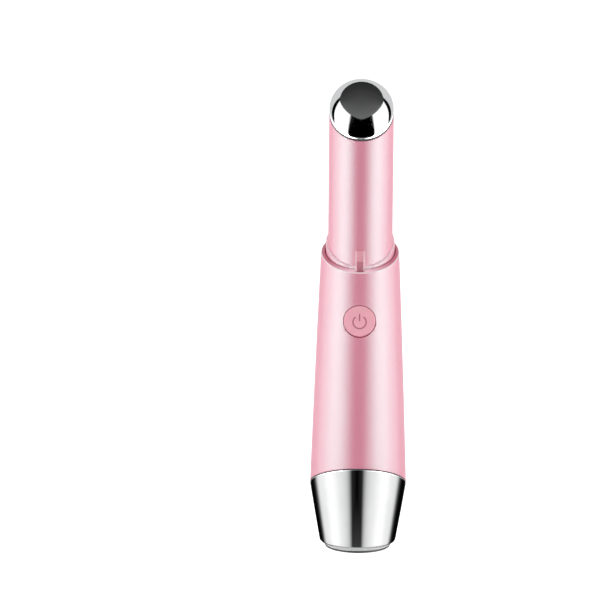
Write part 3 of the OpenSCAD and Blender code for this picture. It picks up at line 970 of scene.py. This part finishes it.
def share_up(point):
    """Share of the way from the cup's lower edge to the slanted upper edge."""
    return (point.z - CUP_LOW_Z) / (cup_top_z + PARTING_RISE * point.y - CUP_LOW_Z)


for hoop in range(1, HOOPS + 1):
    share = hoop / (HOOPS + 1)
    hoop_r = wall_low_r + (handle_r(PARTING_Z) - wall_low_r) * share
    stretch_by = 1 + CUP_BULGE * math.sin(math.pi * share) / hoop_r
    pick(cup, lambda p: abs(share_up(p) - share) < 0.48 / (HOOPS + 1))
    bpy.ops.transform.resize(value=(stretch_by, stretch_by, 1), center_override=(0, 0, 0))
print("cup wall of", HOOPS, "hoops")

# %% [markdown]
# The open lower edge is pulled in and up to form the recess that holds the foot, and is closed.
# The inner wall is turned inside, cut at the same slant as the outer one, and bridged to it.

# %% Turn in the cup's bottom, round its edge and add the inner wall
pick(cup, lambda p: abs(p.z - CUP_LOW_Z) < 0.001)
pull(scale=RECESS_R / wall_low_r, about=(0, 0, CUP_LOW_Z))
pull(move=(0, 0, RECESS_Z - CUP_LOW_Z))
bpy.ops.mesh.edge_face_add()
soften(cup, lambda p: abs(p.z - CUP_LOW_Z) < 0.001 and radius(p) > wall_low_r - 0.01,
       CUP_ROUND, 8)
soften(cup, lambda p: abs(p.z - CUP_LOW_Z) < 0.001 and radius(p) < RECESS_R + 0.01,
       FINE_EDGE, 2)
turn([(10.85, 0, 30), (10.85, 0, 24.0), (10.0, 0, 15), (8.9, 0, CUP_FLOOR_Z),
      (0, 0, CUP_FLOOR_Z)])
slice_and_close(cup, cup_top_z, PARTING_RISE)
outward()
cup_edges = soften_rim(cup, cup_top_z, PARTING_RISE, OUTER_WALL_R, FINE_EDGE, 2)
print("cup rim edges rounded:", cup_edges)

# %% [markdown]
# The cup's floor has an opening for the charging socket and holes for two screws. The opening is
# a slot with round ends: a block whose upright edges are rounded by half its width.

# %% Cut the slot and the screw holes
SLOT_W, SLOT_T, SCREW_Y, SCREW_R, SCREW_HEAD_R = 9.3, 3.6, 4.6, 1.1, 1.7


def slot_bar(low, high):
    """A closed upright bar with the charging slot's outline."""
    bar = start_piece("slot_bar")
    bpy.ops.mesh.primitive_cube_add(size=MM, location=(0, 0, (low + high) / 2 * MM))
    bpy.ops.transform.resize(value=(SLOT_W, SLOT_T, high - low))
    bpy.ops.mesh.select_mode(type="EDGE")
    bpy.ops.mesh.select_all(action="DESELECT")
    mesh = bmesh.from_edit_mesh(bar.data)
    for edge in mesh.edges:
        edge.select_set(abs(edge.verts[0].co.z - edge.verts[1].co.z) > 0.5 * MM)
    bmesh.update_edit_mesh(bar.data)
    bpy.ops.mesh.bevel(offset=SLOT_T / 2 * MM, segments=16, affect="EDGES")
    outward()
    return bar


def screw_bar(bar_r, high, y):
    """A closed round bar that stands upright where a screw goes."""
    bar = start_piece("screw_bar")
    turn([(0, y, 1), (bar_r, y, 1), (bar_r, y, high), (0, y, high)], center=(0, y, 0), steps=36)
    outward()
    return bar


combine(cup, slot_bar(1, 6), "DIFFERENCE")
for y in (-SCREW_Y, SCREW_Y):
    combine(cup, screw_bar(SCREW_R, 6, y), "DIFFERENCE")
    combine(cup, screw_bar(SCREW_HEAD_R, RECESS_Z + 1.3, y), "DIFFERENCE")
finish_piece(cup, finish["chrome_plate"], "chrome_base", "wand", "base_cup")

# %% [markdown]
# ## The dark seal at the base
# One more thin dark ring lies in the slanted parting line between handle and cup.

# %% Make the base's seal
SEAL_INSET = 0.05
base_seal = slanted_ring(
    "base_seal_ring",
    [(handle_r(7) - SEAL_INSET, 0, 7), (handle_r(25) - SEAL_INSET, 0, 25)],
    [(handle_r(25) - SHELL_WALL, 0, 25), (handle_r(7) - SHELL_WALL, 0, 7)],
    PARTING_Z - BASE_SEAL_T / 2, PARTING_RISE, BASE_SEAL_T)
finish_piece(base_seal, finish["seal_rubber"], "seal_rubber", "wand", "base_seal")

# %% [markdown]
# ## The foot
# The foot is a moulded disc with a rounded edge, a spigot that holds it in the cup, and the same
# slot as the cup's floor.

# %% Turn the foot and cut its slot
SPIGOT_FOOT_R = 7.6
foot = start_piece("foot_disc_skin")
edge_round = [(FOOT_R - FOOT_ROUND * (1 - math.sin(math.radians(a))), 0,
               FOOT_ROUND * (1 - math.cos(math.radians(a)))) for a in range(0, 91, 15)]
turn([(0, 0, 0)] + edge_round + [(FOOT_R, 0, CUP_LOW_Z), (SPIGOT_FOOT_R, 0, CUP_LOW_Z),
                                 (SPIGOT_FOOT_R, 0, RECESS_Z), (0, 0, RECESS_Z)])
outward()
combine(foot, slot_bar(-1, 4), "DIFFERENCE")
edit(foot)
soften(foot, lambda p: abs(p.z) < 0.001 and abs(p.y) < SLOT_T and abs(p.x) < SLOT_W / 2 + 0.01,
       0.15, 3)
finish_piece(foot, finish["foot_plastic"], "foot_plastic", "wand", "foot_disc")

# %% [markdown]
# ## The power button
# The button is a stepped disc that is turned about the axis it slides on. Its face is dished a
# little for the thumb, and its front edge is rounded. A wider flange at the back keeps it in
# the shell, and a nub presses on the switch.

# %% Turn the button
FLANGE_FRONT, FLANGE_BACK, PLUNGER_TIP = BOSS_Y + 0.7, BOSS_Y + 1.3, -5.4
BUTTON_EDGE = 0.22
dish_r = (BUTTON_R ** 2 + BUTTON_DISH ** 2) / (2 * BUTTON_DISH)


def dish_y(r, lift=0.0):
    """Depth of the dished face at a distance from the button's middle."""
    middle = BUTTON_FACE_Y + BUTTON_DISH - dish_r
    return middle + math.sqrt((dish_r - lift) ** 2 - r ** 2)


face_radii = [BUTTON_R * share for share in (0.15, 0.3, 0.45, 0.6, 0.75, 0.88)]
edge_top = BUTTON_R - BUTTON_EDGE
corner = [(edge_top + BUTTON_EDGE * math.sin(math.radians(a)),
           BUTTON_FACE_Y + BUTTON_EDGE * (1 - math.cos(math.radians(a))))
          for a in range(0, 91, 15)]
button = round_about_button(
    "power_button_skin", [(0, dish_y(0))] + [(r, dish_y(r)) for r in face_radii] + corner
    + [(BUTTON_R, FLANGE_FRONT), (BUTTON_R + 0.95, FLANGE_FRONT),
       (BUTTON_R + 0.95, FLANGE_BACK), (1.0, FLANGE_BACK), (1.0, PLUNGER_TIP),
       (0, PLUNGER_TIP)])
finish_piece(button, button_lacquer, "button_pink", "button", "power_button")

# %% [markdown]
# ## The power symbol
# The common open ring with a bar is printed on the button. A picture texture could carry it,
# but here it is a very thin inlay, so it stays in the exported mesh. An arc and a bar are made
# as flat solids through the face, and a thin dished skin cuts them to its own curve.

# %% Make the symbol
SYMBOL_R, SYMBOL_STROKE, SYMBOL_GAP = 1.7, 0.36, math.radians(36)
SYMBOL_Z, SYMBOL_BAR = BUTTON_Z - 0.24, (0.0, 1.95)
INK = 0.02

symbol = start_piece("power_symbol")
start = Vector((math.sin(SYMBOL_GAP), 0, math.cos(SYMBOL_GAP)))
near = start * (SYMBOL_R - SYMBOL_STROKE / 2) + Vector((0, BUTTON_FACE_Y - 0.5, SYMBOL_Z))
far = start * (SYMBOL_R + SYMBOL_STROKE / 2) + Vector((0, BUTTON_FACE_Y - 0.5, SYMBOL_Z))
draw_line([near, far])
bpy.ops.mesh.select_linked()
bpy.ops.mesh.spin(steps=56, angle=2 * SYMBOL_GAP - math.tau, center=(0, 0, SYMBOL_Z * MM),
                  axis=(0, 1, 0))
bpy.ops.mesh.select_all(action="SELECT")
bpy.ops.mesh.extrude_region_move(TRANSFORM_OT_translate={"value": (0, 1.2 * MM, 0)})
outward()
bar = start_piece("symbol_bar")
bar_middle = BUTTON_Z + sum(SYMBOL_BAR) / 2
bpy.ops.mesh.primitive_cube_add(size=MM, location=Vector((0, BUTTON_FACE_Y, bar_middle)) * MM)
bpy.ops.transform.resize(value=(SYMBOL_STROKE, 1.3, SYMBOL_BAR[1] - SYMBOL_BAR[0]))
soften(bar, lambda p: True, 0.08, 2)
combine(symbol, bar, "UNION")
skin = round_about_button(
    "ink_skin", [(0, dish_y(0, INK))] + [(r, dish_y(r, INK)) for r in (0.6, 1.2, 1.8, 2.4, 3)]
    + [(r, dish_y(r, -3 * INK)) for r in (3, 2.4, 1.8, 1.2, 0.6, 0)])
combine(symbol, skin, "INTERSECT")
finish_piece(symbol, symbol_print, "button_pink", "button")

# %% [markdown]
# ## Studio: floor and sky
# A pale floor and an even sky light carry the picture. Seen by the camera, the floor adds a
# little light of its own, which makes the background white and still keeps the shadow. The sky
# shows full white to the camera and to mirrors, and lights the object at a lower level.

# %% Floor and world
FLOOR_GLOW, SKY_LEVEL = 0.75, 0.55
bpy.ops.object.select_all(action="DESELECT")
bpy.ops.mesh.primitive_plane_add(size=10, location=(0, 0, 0))
floor = bpy.context.object
floor.name = "studio_floor"
floor.visible_glossy = False
floor_paint, tree, shader = new_material("studio_floor", Roughness=0.9, Specular_IOR_Level=0.0)
shader.inputs["Base Color"].default_value = (0.9, 0.9, 0.9, 1)
shader.inputs["Emission Color"].default_value = (1, 1, 1, 1)
to_camera = Amount(add_node(tree, "LightPath").outputs["Is Camera Ray"])
(to_camera * FLOOR_GLOW).into(shader.inputs["Emission Strength"])
floor.data.materials.append(floor_paint)

world = bpy.data.worlds.new("studio")
bpy.context.scene.world = world
world.use_nodes = True
rays = add_node(world.node_tree, "LightPath").outputs
background = world.node_tree.nodes["Background"]
seen = Amount(rays["Is Camera Ray"]) + Amount(rays["Is Glossy Ray"])
seen = seen.then("ADD", Amount(rays["Is Transmission Ray"]), clamp=True)
seen.spread(0, 1, SKY_LEVEL, 1.0).into(background.inputs["Strength"])
background.inputs["Color"].default_value = (1, 1, 1, 1)
print("floor and sky ready")

# %% [markdown]
# ## Studio: soft lights
# Two tall soft lights stand at the sides, so the wand's edges are brighter than its middle, as in
# the photograph. A light's power is worked out from the level that it gives on a surface facing
# it, so that the numbers stay readable.

# %% Side lights
PANEL_AZIMUTH, PANEL_ELEVATION, PANEL_LEVEL = 78, 18, 0.5
PANEL_DISTANCE, PANEL_SIZE, WAND_MIDDLE = 1.0, (0.5, 0.8), Vector((0, 0, 0.06))


def soft_light(name, azimuth, elevation, level):
    """A soft panel that lights a surface facing it to a level, where 1 shows a colour as is."""
    data = bpy.data.lights.new(name, "AREA")
    data.shape = "RECTANGLE"
    data.size, data.size_y = PANEL_SIZE
    data.energy = level * (math.pi * PANEL_DISTANCE) ** 2
    light = bpy.data.objects.new(name, data)
    bpy.context.scene.collection.objects.link(light)
    turned, lifted = math.radians(azimuth), math.radians(elevation)
    toward = Vector((math.sin(turned) * math.cos(lifted), -math.cos(turned) * math.cos(lifted),
                     math.sin(lifted)))
    light.location = WAND_MIDDLE + toward * PANEL_DISTANCE
    light.rotation_euler = toward.to_track_quat("Z", "Y").to_euler()
    light.visible_glossy = False
    light.visible_camera = False


for side in (-1, 1):
    soft_light("side_panel", side * PANEL_AZIMUTH, PANEL_ELEVATION, PANEL_LEVEL)

# %% [markdown]
# ## Studio: what the mirrors see
# Polished metal shows only its surroundings. In a studio these are white panels with black
# flags between them: a narrow black flag in front, a dark wall behind, and a dark disc overhead.
# Here one large dome stands for them all. Only reflected rays can see it, so it lights nothing
# by itself. Its pattern is worked out from the direction of each of its points, as an angle
# round the wand and an angle up.

# %% Hang the reflection dome
bpy.ops.object.select_all(action="DESELECT")
bpy.ops.mesh.primitive_uv_sphere_add(segments=64, ring_count=32, radius=0.7)
dome = bpy.context.object
dome.name = "reflection_dome"
dome.location = WAND_MIDDLE
bpy.ops.object.shade_smooth()
for ray_kind in ("camera", "diffuse", "transmission", "shadow", "volume_scatter"):
    setattr(dome, "visible_" + ray_kind, False)
dome_paint = bpy.data.materials.new("reflection_dome")
dome_paint.use_nodes = True
dome.data.materials.append(dome_paint)
print("dome of", len(dome.data.polygons), "faces")

# %% [markdown]
# Three helpers read the dome's directions: the upward part at an elevation, a grey ramp through
# named stops, and one brightness laid over another.

# %% Directions on the dome
tree = dome_paint.node_tree
tree.nodes.remove(tree.nodes["Principled BSDF"])
direction = add_node(tree, "VectorMath", operation="NORMALIZE")
object_place(tree).into(direction.inputs[0])
to_right, to_back, up = split(tree, Amount(direction.outputs[0]))
sideways = to_right.then("ABSOLUTE")
forward = to_back * -1.0
round_share = sideways.then("ARCTAN2", forward) / math.pi


def upward(elevation):
    """The upward part of a direction at an elevation in degrees."""
    return math.sin(math.radians(elevation))


def ramp(factor, stops, full=1.0):
    """A grey ramp through pairs of position and brightness."""
    node = add_node(tree, "ValToRGB")
    elements = node.color_ramp.elements
    while len(elements) < len(stops):
        elements.new(0.5)
    for element, (position, value) in zip(elements, stops):
        element.position = position / full
        element.color = (value, value, value, 1)
    factor.into(node.inputs[0])
    return Amount(node.outputs[0])


def over(below, mask, value):
    """Lays a brightness over what is below, where the mask is 1."""
    node = add_node(tree, "Mix", data_type="FLOAT")
    for index, item in ((0, mask), (2, below), (3, value)):
        if isinstance(item, Amount):
            item.into(node.inputs[index])
        else:
            node.inputs[index].default_value = item
    return Amount(node.outputs[0])


print("straight ahead is", upward(0), "and straight up is", upward(90))

# %% [markdown]
# The cup and the lacquer see the walls. Both walls are ramps over the angle round the wand. The
# cup's wall has a black flag in front, bright panels at the sides and a black wall behind. Only
# the lacquer's gloss is wide enough to catch the much brighter panels, which end above the part
# that the cup mirrors. The floor side of the front flag is a little lighter, and a faint light
# under it draws the thin light line low on the head.

# %% The walls
WALL_STOPS = [(0, 0.0), (12, 0.02), (15, 0.14), (17, 0.28), (20, 0.45), (24, 0.62), (29, 0.73),
              (36, 0.83), (45, 0.92), (55, 1.05), (68, 1.15), (78, 1.1), (90, 0.95), (104, 0.88),
              (110, 0.76), (114, 0.56), (118, 0.29), (122, 0.1), (127, 0.03), (133, 0.002),
              (180, 0.002)]
PANEL_STOPS = [(0, 0.0), (10, 0.0), (20, 0.26), (30, 0.6), (42, 0.99), (55, 1.12), (65, 1.1),
               (76, 0.85), (90, 0.56), (106, 0.32), (122, 0.17), (138, 0.12), (155, 0.1),
               (180, 0.06)]
WALL_TURN, PANEL_GAIN, FLAG_GREY, UNDER_FLAG = math.radians(2.5), 8.9, 0.043, 0.42

wall_angle = (to_right.then("ARCTAN2", forward) + WALL_TURN).then("ABSOLUTE")
wall = ramp(wall_angle / math.pi, WALL_STOPS, 180)
flag_low = up.spread(upward(-28.7), upward(-32.3)) ** 2.0
wall = wall.then("MAXIMUM", flag_low * FLAG_GREY)

panel = ramp(round_share, PANEL_STOPS, 180)
panel = panel * up.step(upward(-21), upward(-16.5)) * PANEL_GAIN

under_flag = up.step(upward(-14), upward(-8)) * round_share.step(42 / 180, 30 / 180)
walls = (wall + panel).then("MAXIMUM", under_flag * UNDER_FLAG)
print("wall stops:", len(WALL_STOPS), "panel stops:", len(PANEL_STOPS))

# %% [markdown]
# Overhead, places are counted in degrees from the zenith: to the side and to the front. The head
# mirrors a dark round shade straight above, a black flag that widens from it to the front, and
# two thin black bars that run out to the sides, with a grey wall behind them.

# %% The flag and the bars overhead
from_zenith = up.then("ARCCOSINE") / math.radians(1)
per_length = from_zenith / (1.0 - up ** 2.0).then("SQRT").then("MAXIMUM", 0.0001)
over_side = sideways * per_length
over_front = forward * per_length

flag_half = (over_front * 0.0058 + 0.40) * over_front + 5.3
flag = (over_side - flag_half).step(0.6, -0.6)
flag = flag * over_front.step(-0.8, 0.0) * from_zenith.step(91.0, 87.0)

bar_back = over_side * 0.04 - 13.2
bar_front = (over_side * 0.41 - 14.6).then("MINIMUM", 2.8)
grey_wall = (bar_back - over_front).step(-0.4, 0.4)
bars = (bar_front - over_front).step(-0.4, 0.4) * (1.0 - grey_wall)
bars = bars * over_side.step(10.0, 11.5) * from_zenith.step(74.0, 62.0)
print("the flag is", 2 * 5.3, "degrees wide at the zenith")

# %% [markdown]
# The shade is an oval with a round far half and a more pointed near half. Its grey grows from the
# far edge to the near one.

# %% The dark shade overhead
SHADE_SIDE, SHADE_MIDDLE, SHADE_FAR, SHADE_NEAR = 13.0, -10.3, -17.1, 13.4
SHADE_STOPS = [(0.0, 0.0), (0.04, 0.0), (0.1, 0.012), (0.2, 0.028), (0.35, 0.03), (0.45, 0.033),
               (0.51, 0.04), (0.56, 0.047), (0.61, 0.052), (0.64, 0.059), (0.665, 0.068),
               (0.71, 0.087), (0.75, 0.103), (0.82, 0.119), (0.91, 0.141), (1.0, 0.15)]


def oval(length, fullness):
    """Below 1 inside half an oval; a fullness of 2 is an ellipse, and less is pointed."""
    along = ((over_front - SHADE_MIDDLE) / length).then("MAXIMUM", 0.0)
    return (over_side / SHADE_SIDE) ** fullness + along ** fullness


shade = oval(SHADE_FAR, 2.0).then("MAXIMUM", oval(SHADE_NEAR, 1.35)).step(1.04, 0.97)
shade_grey = ramp((over_front + 27.4) / 29.8, SHADE_STOPS)
print("shade stops:", len(SHADE_STOPS))

# %% [markdown]
# The layers are now laid over each other, from the walls up to the shade. Below the lowest part
# that the cup mirrors from the front, the floor is grey.

# %% Lay the pattern together
CEILING_LEVEL, GREY_WALL_LEVEL, FLOOR_LEVELS, FLAG_END_GREY = 1.2, 0.69, (0.2, 0.7), 0.35
ceiling = over(over(CEILING_LEVEL, grey_wall, GREY_WALL_LEVEL), bars, 0.0)
floor_grey = up.spread(upward(-44), -1.0, *FLOOR_LEVELS)
pattern = over(walls, up.step(upward(-37), upward(-44)), floor_grey)
pattern = over(pattern, up.step(upward(8), upward(14)), ceiling)
pattern = over(pattern, flag, from_zenith.step(76.0, 90.0) * FLAG_END_GREY)
pattern = over(pattern, shade, shade_grey)
emission = add_node(tree, "Emission")
pattern.into(emission.inputs["Strength"])
tree.links.new(emission.outputs[0], tree.nodes["Material Output"].inputs["Surface"])
print("the dome's pattern has", len(tree.nodes), "nodes")
